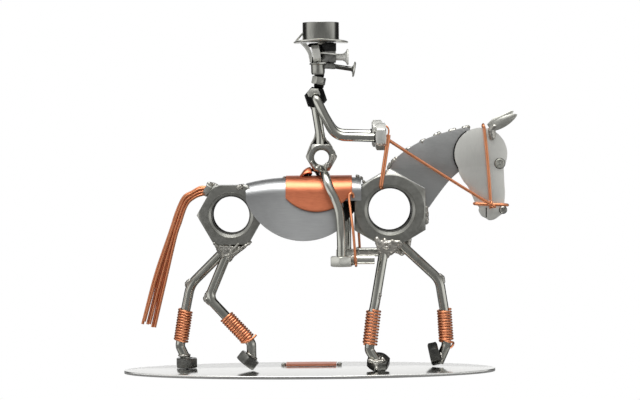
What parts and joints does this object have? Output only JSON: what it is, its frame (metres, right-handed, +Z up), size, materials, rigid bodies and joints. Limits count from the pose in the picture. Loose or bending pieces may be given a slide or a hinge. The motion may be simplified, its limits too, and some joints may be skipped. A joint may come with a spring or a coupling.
{
  "type": "metal horse and rider sculpture",
  "caption": "Table sculpture of a top-hatted dressage rider on a walking horse, welded from hex nuts, rod, copper wire and folded sheet on an oval steel base.",
  "frame": {"origin": "centre of the oval base plate's underside", "axes": "+X towards the horse's head along the base's long axis, +Y across the base towards the horse's far (left) side, +Z up"},
  "size_m": [0.2543, 0.08, 0.2254],
  "materials": {
    "steel": "brushed and polished steel with warm grey welds",
    "bright_steel": "bright polished steel",
    "copper": "satin copper"
  },
  "bodies": {
    "root": {"base_plate": "steel", "plaque": "copper", "plaque_tack_left": "bright_steel", "plaque_tack_right": "bright_steel", "croup_nut": "steel", "chest_nut": "steel", "barrel_sheet": "steel", "saddle": "copper", "neck_plate": "steel", "head_plate": "bright_steel", "eye_near": "bright_steel", "eye_far": "bright_steel", "nostril_near": "bright_steel", "nostril_far": "bright_steel", "ear_near": "bright_steel", "ear_far": "bright_steel", "hoof_hind_far": "steel", "hoof_hind_near": "steel", "hoof_fore_near": "steel", "hoof_fore_far": "steel", "leg_hind_far": "steel", "leg_hind_near": "steel", "leg_fore_near": "steel", "leg_fore_far": "steel", "leg_wrap_hind_far": "copper", "leg_wrap_hind_near": "copper", "leg_wrap_fore_near": "copper", "leg_wrap_fore_far": "copper", "tail_nut": "bright_steel", "tail_wires": "copper", "bridle_cheek_wire": "copper", "noseband": "copper", "rein_near": "copper", "rein_far": "copper", "rein_end": "copper", "hip_nut": "steel", "shoulder_nut": "steel", "hand_nut_near": "bright_steel", "hand_nut_far": "bright_steel", "torso_rod": "steel", "arm_near": "steel", "arm_far": "steel", "rider_leg_near": "steel", "rider_leg_far": "steel", "boot_nut_near": "steel", "boot_nut_far": "steel", "toe_rod_near": "steel", "toe_rod_far": "steel", "stirrup_near": "copper", "stirrup_far": "copper", "rider_neck_nut": "steel", "rider_jaw": "steel", "skull_nut": "bright_steel", "skull_strip": "steel", "face_nuts": "steel", "nose_rivet": "bright_steel", "chin_nail": "steel", "top_hat": "steel"}
  },
  "joints": []
}
